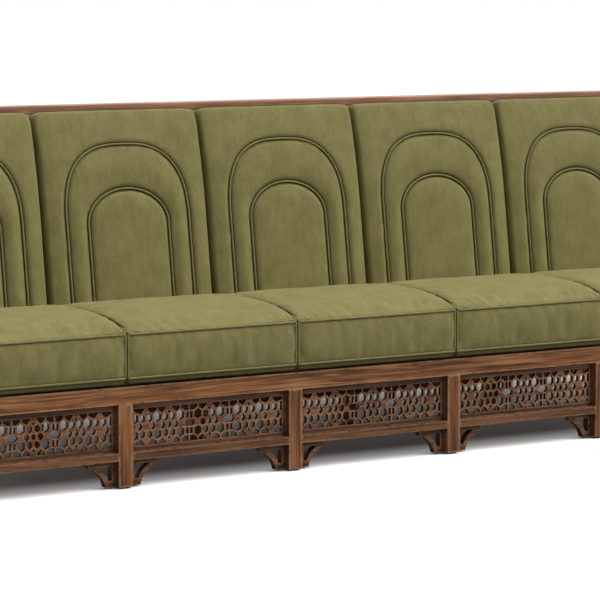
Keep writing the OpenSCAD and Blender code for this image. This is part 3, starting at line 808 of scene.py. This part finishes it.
@dataclass
class Cushions:
    """One kind of cushion: a stuffed cover and its piping, laid into every bay with lumps of its own."""

    kind: str
    body: str
    stuffing: Stuffing
    lumps: Lumps
    fill: float

    def cover(self) -> tuple[Mesh, list[int]]:
        """The sewn cover before it is stuffed, and the points that are held."""
        raise NotImplementedError

    def piping(self) -> Mesh:
        """The cords along the seams."""
        raise NotImplementedError

    def is_lumpy(self, normal: Vector) -> bool:
        """Whether a face that looks this way shows lumps."""
        raise NotImplementedError

    def within(self, spot: Vector) -> Vector:
        """Keeps a point clear of the cushion's neighbours."""
        raise NotImplementedError

    def build(self) -> None:
        """Stuffs one cover, then lays a cushion of its own lumps and its piping into every bay."""
        cover, held = self.cover()
        moves = self.stuffing.swell(cover, held)
        piping = self.piping()
        gaps = [entry.value / MM for entry in cover.attributes["seam_gap"].data]
        normals = [v.normal.copy() for v in cover.vertices]
        for bay in range(1, PLAN.bays + 1):
            mesh = cover.copy()
            shift = Vector((PLAN.middle(bay), 0, 0))
            for vert, move, gap, normal in zip(mesh.vertices, moves, gaps, normals):
                spot = vert.co + move
                if self.is_lumpy(normal):
                    spot += normal * self.lumps.at(spot, bay, gap)
                vert.co = self.within(spot) + shift
            body = self.body.format(bay)
            Piece(
                f"{self.kind}_upholstery_{bay}", body, CLOTH_SLOT, CUSHION_CLOTH, 1,
                (f"{self.kind}_cushion_{bay}",), self.fill,
            ).place(mesh)
            cord = piping.copy()
            cord.transform(Matrix.Translation(shift))
            Piece(f"{self.kind}_piping_{bay}", body, CLOTH_SLOT, PIPING).place(cord)


# Seat cushions


@dataclass
class SeatCushions(Cushions):
    """Five loose box cushions with a crowned top, boxed sides and piped seams. Sizes in millimetres."""

    half: float = 296.0
    side_swell: float = 2.6
    front: float = -9.0
    front_swell: float = 3.0
    base: float = 327.9
    low_seam: float = 339.5
    low_roll: float = 6.0
    hang: float = 6.0
    hang_reach: float = 45.0
    top_seam: float = 473.3
    crown: float = 47.0
    crest: float = 0.6
    fall: float = 12.0
    puff: float = 5.0
    side_drop: float = 3.0
    rear_out: float = 91.5
    pleat: float = 1.8
    pleat_reach: float = 20.0
    rear_tuck: float = 4.0
    side_ease: float = 0.5
    rise_ease: float = 0.3
    seam_power: float = 110.0
    corner_points: int = 13
    cloth_depth: float = 500.0
    cord_inset: float = 0.4
    cord_points: int = 400
    counts: tuple[int, int, int] = (56, 46, 12)
    kind: str = "seat"
    body: str = "loose_seat_{}"
    stuffing: Stuffing = Stuffing(cap=7.0 * MM)
    lumps: Lumps = Lumps(9.0, 7.3, 0.0, 40.0)
    fill: float = 0.75

    def rise(self, depth: float) -> float:
        """Height of the crown above the front seam, at a share of the depth."""
        if depth < self.crest:
            return self.crown * (1 - (1 - depth / self.crest) ** 2.5) ** 0.6
        return self.crown - self.fall * ((depth - self.crest) / (1 - self.crest)) ** 2

    def top(self, across: float, depth: float) -> float:
        """Height of the top panel at shares of the width and the depth."""
        lift = self.puff * (1 - (2 * across - 1) ** 4) * math.sin(math.pi * depth)
        near = min(across, 1 - across) * 2 * self.half
        drop = self.side_drop * max(0.0, 1 - near / 14) ** 2 * min(1.0, depth * 40)
        return self.top_seam + self.rise(depth) + lift - drop

    def bottom(self, across: float, y_share: float) -> float:
        """Height of the underside, which turns up steeply to the low seam all round."""
        near = (min(across, 1 - across) * 2 * self.half, min(y_share, 1 - y_share) * self.cloth_depth)
        still = sum(max(0.0, 1 - n / self.low_roll) ** 4 for n in near)
        climb = 1 - math.sqrt(1 - min(1.0, still ** 0.25) ** 2)
        base = self.base_at(self.front + y_share * self.cloth_depth)
        return base + (self.low_seam - base) * climb

    def base_at(self, y: float) -> float:
        """Height of the underside, whose front hangs a little in front of the deck."""
        return self.base - self.hang * max(0.0, 1 - max(0.0, y - self.front) / self.hang_reach) ** 2

    def spot(self, across: float, depth: float, up: float) -> Triple:
        """Where a point of the unit box's skin lies on the cushion.

        Args:
            across: its share of the width.
            depth: its share of the depth.
            up: its share of the height.

        Returns:
            Its place in millimetres.
        """
        z = self.bottom(across, depth) * (1 - up) + self.top(across, depth) * up
        swell = 4 * up * (1 - up)
        corner = 1 - abs(2 * across - 1) ** 12
        front = self.front - self.front_swell * swell * corner
        rear = PLAN.plane_y(self.rear_out, z) - self.rear_tuck * (1 - swell)
        x = (2 * across - 1) * (self.half + self.side_swell * swell * (1 - abs(2 * depth - 1) ** 12))
        return x, front + (rear - front) * depth, z

    def depth_share(self, share: float) -> float:
        """Even steps made closer near the front seam and the rear one."""
        return eased(share, 0.55) ** 1.15

    def cover(self) -> tuple[Mesh, list[int]]:
        """Builds the sewn cover of the middle cushion, before it is stuffed.

        Returns:
            The mesh, and the points that seams and deck hold.
        """
        shape = bmesh.new()
        bmesh.ops.create_cube(shape, size=1.0, matrix=Matrix.Translation((0.5, 0.5, 0.5)))
        for axis, count in enumerate(self.counts):
            edges = [e for e in shape.edges if abs(e.verts[0].co[axis] - e.verts[1].co[axis]) > 1e-6]
            bmesh.ops.subdivide_edges(shape, edges=edges, cuts=count - 1, use_grid_fill=True)
        shape.normal_update()
        cut = shape.loops.layers.uv.new("cut")
        gap = shape.verts.layers.float.new("seam_gap")
        run = shape.verts.layers.float.new("seam_run")
        held: list[int] = []
        sizes = (2 * self.half, self.cloth_depth, self.top_seam - self.low_seam)
        climb = [0.0]
        steps = 200
        for i in range(steps):
            rise = self.rise((i + 1) / steps) - self.rise(i / steps)
            climb.append(climb[-1] + math.hypot(rise, sizes[1] / steps))
        for face in shape.faces:
            axis = max(range(3), key=lambda n: abs(face.normal[n]))
            for loop in face.loops:
                u, v, w = loop.vert.co
                x, depth = eased(u, self.side_ease) * sizes[0], self.depth_share(v)
                if axis == 2:
                    place = (x, climb[round(depth * steps)] if w > 0.5 else depth * sizes[1])
                elif axis == 1:
                    place = (x, w * sizes[2])
                else:
                    place = (depth * sizes[1], w * sizes[2])
                loop[cut].uv = (place[0] * MM, place[1] * MM)
        shape.verts.ensure_lookup_table()
        for vert in shape.verts:
            u, v, w = vert.co
            across, depth, up = eased(u, self.side_ease), self.depth_share(v), eased(w, self.rise_ease)
            shares = (across, depth, up)
            ends = sorted((min(s, 1 - s) * size, n) for n, (s, size) in enumerate(zip(shares, sizes)))
            along = ends[2][1]
            vert[gap] = ends[1][0] * MM
            vert[run] = shares[along] * sizes[along] * MM
            if w < 1e-6 or ends[1][0] < 1e-3:
                held.append(vert.index)
            x, y, z = self.spot(across, depth, up)
            if w > 1 - 1e-6:
                z += self.pleats(x, depth * sizes[1])
            vert.co = PLAN.place(x, y, z)
        return to_mesh(shape, "seat_cover"), held

    def pleats(self, x: float, back: float) -> float:
        """Height of the small gathers that the front seam draws into the top panel."""
        wave = noise.noise(Vector((x / 14.0, back / 60.0, 3.7)))
        return self.pleat * wave * math.exp(-back / self.pleat_reach) * (1 - math.exp(-back / 3.0))

    def top_edge(self, depth: float) -> float:
        """Height of the top seam at a share of the depth."""
        return self.top_seam + self.rise(min(max(depth, 0), 1)) - self.side_drop * min(1, depth * 40)

    def seam_line(self, z_of: Callable[[float], float]) -> list[Vector]:
        """A piped seam that runs round the cushion.

        Args:
            z_of: its height at a share of the depth.

        Returns:
            The points of the cord's centre line.
        """
        points = []
        for x, y in soft_box(1.0, 1.0, self.seam_power, self.cord_points):
            share = (y + 1) / 2
            z = z_of(share)
            rear = PLAN.plane_y(self.rear_out, z) - self.rear_tuck
            back = self.front - 1.0 + (rear + 1.0 - self.front) * share
            points.append(PLAN.place(x * (self.half - self.cord_inset), back, z))
        return points

    def piping(self) -> Mesh:
        """The cords of the middle cushion: round its top, round its foot and up its corners."""
        cord = Cord()
        for z_of in (self.top_edge, lambda _: self.low_seam):
            cord.sweep(self.seam_line(z_of), Vector((0, 0, 1)), True)
        for side in (-1, 1):
            for depth in (0, 1):
                line = []
                for i in range(self.corner_points):
                    x, y, z = self.spot((side + 1) / 2, depth, i / (self.corner_points - 1))
                    line.append(PLAN.place(x - side * 0.8, y + (0.2 if depth else -0.2), z))
                cord.sweep(line, Vector((0, 1, 0)), False)
        return to_mesh(cord.shape, "seat_piping")

    def is_lumpy(self, normal: Vector) -> bool:
        """Whether a face that looks this way shows lumps: all but the underside."""
        return normal.z > -0.5

    def within(self, spot: Vector) -> Vector:
        """Keeps a point inside the bay and above the deck."""
        edge = (self.half + self.side_swell + 0.6) * MM
        spot.x = min(max(spot.x, -edge), edge)
        spot.z = max(spot.z, (self.base_at(spot.y / MM + PLAN.shift) - 0.3) * MM)
        return spot


# Back cushions


@dataclass(frozen=True)
class Row:
    """One line of the back cushion's cover: an upside-down U at a distance out from the rear face."""

    half: float
    rise: float
    power: float
    out: float
    gap: float = 60.0
    steps: int = 1


@dataclass
class BackCushions(Cushions):
    """Five fixed, reclined cushions, each sewn with two arches. Sizes in millimetres, on the slope."""

    half: float = 297.4
    edge: float = 18.0
    outer: Triple = (222.0, 259.0, 2.7)
    inner: Triple = (145.0, 114.0, 2.0)
    field_out: float = 82.0
    crest_out: float = 95.0
    profile: tuple[Pair, ...] = (
        (18, 90.0), (9, 86.4), (4, 79.0), (0, 76.0), (-4, 79.0), (-9, 86.4), (-18, 90.5),
    )
    cord_out: float = 80.2
    cord_radius: float = 3.1
    square: float = 22.0
    leg_columns: int = 30
    head_columns: int = 58
    seat_up: float = 185.0
    seat_blend: float = 30.0
    seat_out: float = 88.6
    full_out: float = 100.0
    kind: str = "back"
    body: str = "bench"
    stuffing: Stuffing = Stuffing(cap=5.0 * MM)
    lumps: Lumps = Lumps(8.0, 5.1, 9.0, 30.0)
    fill: float = 0.7

    def __post_init__(self) -> None:
        """Finds the slope's foot and its two directions."""
        self.foot = PLAN.slope(0, 0, 0)
        self.out_way = (PLAN.slope(0, 1, 0) - self.foot).normalized()
        self.up_way = (PLAN.slope(0, 0, 1) - self.foot).normalized()

    def rows(self) -> list[Row]:
        """The cover's lines, from the middle of the rear face, round the edge, to the middle of the front."""
        w, r, p, e = self.half, PLAN.back_height - PLAN.spring, self.square, self.edge
        box = [
            Row(0, 0, 2, 0), Row(w - 16, r - 16, p, 0, steps=4), Row(w - 5, r - 5, p, 2.5),
            Row(w - 1, r - 1, p, 9), Row(w, r, p, 18), Row(w, r, p, self.field_out - e, 12.0, steps=4),
        ]
        for turn in (20, 40, 60, 78):
            a = math.radians(turn)
            pull = e * (1 - math.cos(a))
            gap = 5.0 if turn == 60 else 40.0
            box.append(Row(w - pull, r - pull, p, self.field_out - e + e * math.sin(a), gap))
        field = [Row(w - e - 6, r - e - 6, p * 0.8, self.field_out + 2.4)]
        lines = box + field
        for arch, steps in ((self.outer, 5), (self.inner, 4)):
            aw, ar, ap = arch
            if arch is self.inner:
                lines.append(Row((self.outer[0] + aw) / 2, (self.outer[1] + ar) / 2, (self.outer[2] + ap) / 2,
                                 self.crest_out, steps=4))
            for place, (off, out) in enumerate(self.profile):
                lines.append(Row(aw + off, ar + off, ap, out, abs(off), 1 if place else steps))
        lines.append(Row(self.inner[0] / 2, self.inner[1] / 2, 2, self.crest_out, steps=7))
        lines.append(Row(0, 0, 2, self.crest_out, steps=7))
        return lines

    def line(self, half: float, rise: float, power: float) -> Line:
        """Points of an upside-down U, from its right foot over its head to its left foot."""
        if half < 1e-6:
            head = [(0.0, PLAN.spring)] * (self.head_columns + 1)
        else:
            fine = []
            for i in range(1201):
                a = math.pi / 2 * i / 1200
                c, s = math.cos(a), math.sin(a)
                r = ((c / half) ** power + (s / rise) ** power) ** (-1 / power)
                fine.append((r * c, PLAN.spring + r * s))
            head = spaced(fine, self.head_columns + 1)
        legs = [(half, PLAN.spring * i / self.leg_columns) for i in range(self.leg_columns)]
        right = legs + head
        return right + [(-x, up) for x, up in reversed(right[:-1])]

    def cover(self) -> tuple[Mesh, list[int]]:
        """Builds the sewn cover of the middle cushion, before it is stuffed.

        Returns:
            The mesh, and the points that seams, board and deck hold.
        """
        rows = self.rows()
        lines = [self.line(row.half, row.rise, row.power) for row in rows]
        courses: list[tuple[Line, float, float]] = [(lines[0], rows[0].out, rows[0].gap)]
        for before, after, a, b in zip(lines, lines[1:], rows, rows[1:]):
            for step in range(1, b.steps + 1):
                t = step / b.steps
                bend = math.sin(math.pi / 2 * t) if b.steps > 1 and b.out > a.out + 1 else t
                if b.steps > 1 and b.out < a.out - 1:
                    bend = 1 - math.cos(math.pi / 2 * t)
                course = [(p[0] + (q[0] - p[0]) * t, p[1] + (q[1] - p[1]) * t) for p, q in zip(before, after)]
                far = sum(abs(q[0] - p[0]) + abs(q[1] - p[1]) for p, q in zip(before, after)) / len(after)
                gap = min(a.gap + far * t, b.gap + far * (1 - t)) if b.steps > 1 else b.gap
                courses.append((course, a.out + (b.out - a.out) * bend, gap))
        shape = bmesh.new()
        gap_layer = shape.verts.layers.float.new("seam_gap")
        run_layer = shape.verts.layers.float.new("seam_run")
        flat = shape.verts.layers.float_vector.new("flat")
        cut = shape.loops.layers.uv.new("cut")
        edges: list[BMEdge] = []
        row: list[BMVert] = []
        flats = self.flatten(courses)
        held: set[BMVert] = set()
        for number, (course, out, gap) in enumerate(courses):
            if not row:
                row = [shape.verts.new((x, up, out)) for x, up in course]
                edges = [shape.edges.new(pair) for pair in zip(row, row[1:])]
            else:
                row, _ = extruded(shape, edges, row)
                edges = [shape.edges.get(pair) for pair in zip(row, row[1:])]
            run = 0.0
            for i, (vert, (x, up)) in enumerate(zip(row, course)):
                if i:
                    run += math.hypot(x - course[i - 1][0], up - course[i - 1][1])
                vert.co = (x, out * PLAN.thin(up), up)
                vert[gap_layer] = gap * MM
                vert[run_layer] = run * MM
                vert[flat] = Vector((*flats[number][i], 0))
                if out < 20 or gap < 1 or up < 1:
                    held.add(vert)
        bmesh.ops.remove_doubles(shape, verts=shape.verts, dist=1e-4)
        foot = [e for e in shape.edges if e.is_boundary]
        bmesh.ops.edgeloop_fill(shape, edges=foot)
        for face in shape.faces:
            for loop in face.loops:
                loop[cut].uv = loop.vert[flat].xy * MM
        for vert in shape.verts:
            x, out, up = vert.co
            vert.co = PLAN.slope(x, out, up)
        shape.verts.index_update()
        kept = [vert.index for vert in shape.verts if vert in held]
        shape.verts.layers.float_vector.remove(shape.verts.layers.float_vector["flat"])
        return to_mesh(shape, "back_cover"), kept

    def flatten(self, courses: Sequence[tuple[Line, float, float]]) -> list[list[Vector]]:
        """Where each point of the cover lies on the flat cloth that it was cut from.

        Args:
            courses: the cover's lines, with their distances out and from the nearest seam.

        Returns:
            For each line, the points' places on the cloth, in millimetres.
        """
        brim = next(n for n, (_, out, _) in enumerate(courses) if out > self.field_out)
        flats = [[Vector(point) for point in course] for course, _, _ in courses]
        for number in range(brim - 1, -1, -1):
            course, out, _ = courses[number]
            above, above_out, _ = courses[number + 1]
            if out < 1:
                continue
            for i, (x, up) in enumerate(course):
                away = Vector((x, max(0.0, up - PLAN.spring)))
                away = away.normalized() if away.length > 1e-6 else Vector((0, 1))
                far = math.dist((x, up, out), (*above[i], above_out))
                flats[number][i] = flats[number + 1][i] + away * far
        return flats

    def piping(self) -> Mesh:
        """The cords of the two arches of the middle cushion."""
        cord = Cord(radius=self.cord_radius)
        for arch in (self.outer, self.inner):
            line = [PLAN.slope(x, self.cord_out * PLAN.thin(up), up) for x, up in self.line(*arch)]
            cord.sweep(line, self.out_way, False)
        return to_mesh(cord.shape, "back_piping")

    def is_lumpy(self, normal: Vector) -> bool:
        """Whether a face that looks this way shows lumps: the front and its rounded edges."""
        return normal.dot(self.out_way) > 0.2

    def within(self, spot: Vector) -> Vector:
        """Keeps a point inside the bay and clear of the seat cushion."""
        edge = self.half * MM + 0.0002
        spot.x = min(max(spot.x, -edge), edge)
        up = (spot - self.foot).dot(self.up_way) / MM
        low = 1 - min(1.0, max(0.0, (up - self.seat_up) / self.seat_blend))
        limit = (self.seat_out * low + self.full_out * (1 - low)) * MM
        over = (spot - self.foot).dot(self.out_way) - limit
        return spot - self.out_way * max(0.0, over)


# Frame


@dataclass(frozen=True)
class Dressing:
    """The finish of a family of CAD nodes, and the width of their broken edges in metres."""

    family: str
    finish: Finish
    bevel: float = 0.0


@dataclass
class WoodFrame:
    """The timber frame, boards and small parts, which keep their CAD shapes."""

    dressings: tuple[Dressing, ...] = (
        Dressing("front_top_rail", RAILS, 0.0028),
        Dressing("rear_seat_rail", RAILS, 0.0016),
        Dressing("cap_rail", CAP_LIT, 0.003),
        Dressing("front_post", POSTS, 0.0014),
        Dressing("rear_leg", POSTS, 0.0014),
        Dressing("cross_rail", CROSS_RAILS, 0.0014),
        Dressing("bottom_rail", LOW_RAILS_SHADED, 0.002),
        Dressing("fretwork_panel", FRETWORK, 0.0005),
        Dressing("corner_brackets", FRETWORK, 0.0009),
        Dressing("seat_deck", PLYWOOD, 0.0008),
        Dressing("back_board", PLYWOOD, 0.0008),
        Dressing("floor_glides", PLASTIC, 0.0006),
        Dressing("frame_dowels", BEECH),
        Dressing("board_screws", BRASS),
        Dressing("fastening_strips", PLASTIC),
    )
    weld_gap: float = 0.00002
    flat_angle: float = math.radians(1.0)
    edge_angle: float = math.radians(40)

    def build(self) -> None:
        """Gives every kept node its finish and breaks its sharp edges."""
        for dressing in self.dressings:
            for name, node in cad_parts.items():
                if name.rstrip("_0123456789") == dressing.family:
                    self.dress(node, dressing)

    def dress(self, node: Object, dressing: Dressing) -> None:
        """Finishes one node.

        Args:
            node: the CAD node's object.
            dressing: its finish and the width of its broken edges.
        """
        for slot in node.material_slots:
            slot.material = dressing.finish.material()
        if dressing.bevel:
            weld = node.modifiers.new("weld", "WELD")
            weld.merge_threshold = self.weld_gap
            flat = node.modifiers.new("flat_faces", "DECIMATE")
            flat.decimate_type = "DISSOLVE"
            flat.angle_limit = self.flat_angle
            broken = node.modifiers.new("broken_edges", "BEVEL")
            broken.width = dressing.bevel
            broken.segments = 2
            broken.limit_method = "ANGLE"
            broken.angle_limit = self.edge_angle
        LOG.info("%s: %s", node.name, dressing.finish.name)


# Studio


@dataclass(frozen=True)
class Sun:
    """A soft far lamp: where its light comes from, its strength and how wide it is."""

    name: str
    toward: Triple
    strength: float
    width: float


@dataclass
class Studio:
    """Pale floor with a painted shadow round the bench and a faint painted glow along its front, soft lamps,
    even surroundings and the camera.
    """

    suns: tuple[Sun, ...] = (
        Sun("high_right_lamp", (0.66, -0.42, 1.0), 3.08, math.radians(45)),
        Sun("overhead_lamp", (0.1, 0.15, 1.0), 0.7, math.radians(80)),
    )
    surroundings: float = 0.29
    floor_seen: float = 0.86
    floor_bounce: float = 0.36
    # Painted shadow on the floor, as the camera sees it: how dark, and where it begins, fades to the rear and
    # ends to the sides.
    shade_seen: float = 0.15
    shade_front: Pair = (0.02, 0.22)
    shade_rear: Pair = (0.56, 1.62)
    shade_end: Pair = (1.5, 2.1)
    # Painted light: the floor glows faintly to the camera along the bench's front, less in tight corners, and
    # a little everywhere.
    glow: float = 0.33
    glow_rear: Pair = (-0.36, -0.12)
    glow_front: Pair = (-0.56, -0.32)
    glow_least: float = 0.012
    glow_corner: float = 0.05
    floor_half: float = 90.0
    eye: Triple = (-4.691778, -7.690617, 1.537641)
    pitch: float = math.radians(90 - 6.6544)
    yaw: float = math.radians(-31.0438)
    lens: float = 164.962
    sensor: float = 36.0
    sight: float = 400.0

    def floor(self) -> None:
        """Lays the floor, white to the camera and darker to the light that it throws back, with a shadow
        painted into its colour under and behind the bench, and a faint glow to the camera along the bench's
        front, as painted light that lifts that shadow.
        """
        shape = bmesh.new()
        bmesh.ops.create_grid(shape, x_segments=1, y_segments=1, size=self.floor_half)
        floor = bpy.data.objects.new("studio_floor", to_mesh(shape, "studio_floor"))
        bpy.context.scene.collection.objects.link(floor)
        material = bpy.data.materials.new("studio_floor")
        material.use_nodes = True
        wiring = Wiring(material.node_tree)
        shader = material.node_tree.nodes["Principled BSDF"]
        seen = wiring.node("LightPath").outputs["Is Camera Ray"]
        bounce, white = (self.floor_bounce,) * 3, (self.floor_seen,) * 3
        across, back, _ = wiring.node("SeparateXYZ", {0: wiring.body()}).outputs
        # Painted shadow: darkens the floor's colour under and behind the bench, fading out to the sides.
        begun, ended = (wiring.between(back, *reach) for reach in (self.shade_front, self.shade_rear))
        end = wiring.between(wiring.math("ABSOLUTE", across), *self.shade_end, 1.0, 0.0)
        shade = wiring.times(wiring.math("SUBTRACT", begun, ended), end)
        shown = wiring.times_plus(shade, self.shade_seen - 1.0, 1.0)
        white = wiring.mix(1.0, (*white, 1), shown, "MULTIPLY")
        # Painted light: a camera-only glow that lifts the floor's shadow along the bench's front, kept out of
        # tight corners.
        free = wiring.node("AmbientOcclusion", {"Distance": self.glow_corner}, samples=8).outputs["AO"]
        near = wiring.between(back, *self.glow_rear, self.glow, 0.0)
        glow = wiring.times(near, wiring.between(back, *self.glow_front))
        glow = wiring.times_plus(glow, free, self.glow_least)
        wiring.feed(shader.inputs, {
            "Base Color": wiring.mix(seen, (*bounce, 1), white), "Roughness": 0.9, "Specular IOR Level": 0.0,
            "Emission Color": (1, 1, 1, 1), "Emission Strength": wiring.times(glow, seen),
        })
        floor.data.materials.append(material)

    def surround(self) -> None:
        """Lights the bench evenly from all round, and shows white behind it."""
        world = bpy.data.worlds.new("studio")
        bpy.context.scene.world = world
        world.use_nodes = True
        world.node_tree.nodes.clear()
        wiring = Wiring(world.node_tree)
        path = wiring.node("LightPath").outputs
        seen = wiring.math("MAXIMUM", path["Is Glossy Ray"], path["Is Transmission Ray"])
        seen = wiring.math("MAXIMUM", path["Is Camera Ray"], seen)
        strength = wiring.times_plus(seen, 1.0 - self.surroundings, self.surroundings)
        light = wiring.node("Background", {"Color": (1, 1, 1, 1), "Strength": strength})
        wiring.node("OutputWorld", {"Surface": light.outputs[0]})

    def lamps(self) -> None:
        """Hangs the soft lamps."""
        for sun in self.suns:
            lamp = bpy.data.lights.new(sun.name, "SUN")
            lamp.energy = sun.strength
            lamp.angle = sun.width
            holder = bpy.data.objects.new(sun.name, lamp)
            holder.rotation_euler = (-Vector(sun.toward)).to_track_quat("-Z", "Y").to_euler()
            bpy.context.scene.collection.objects.link(holder)

    def camera(self) -> None:
        """Sets the camera where the photograph's viewer stands."""
        eye = bpy.data.cameras.new("viewer")
        eye.lens = self.lens
        eye.sensor_width = self.sensor
        eye.clip_end = self.sight
        holder = bpy.data.objects.new("viewer", eye)
        holder.location = self.eye
        holder.rotation_euler = (self.pitch, 0, self.yaw)
        bpy.context.scene.collection.objects.link(holder)
        bpy.context.scene.camera = holder

    def build(self) -> None:
        """Sets the whole studio up."""
        self.floor()
        self.surround()
        self.lamps()
        self.camera()
        bpy.context.scene.view_settings.view_transform = "Standard"
        LOG.info("studio: %d lamps", len(self.suns))


def main() -> None:
    """Builds the bench's dress piece by piece and the studio round it."""
    logging.basicConfig(level=logging.INFO, format="%(name)s: %(message)s")
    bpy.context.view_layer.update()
    Studio().build()
    WoodFrame().build()
    SeatCushions().build()
    BackCushions().build()


if __name__ == "__main__":
    main()
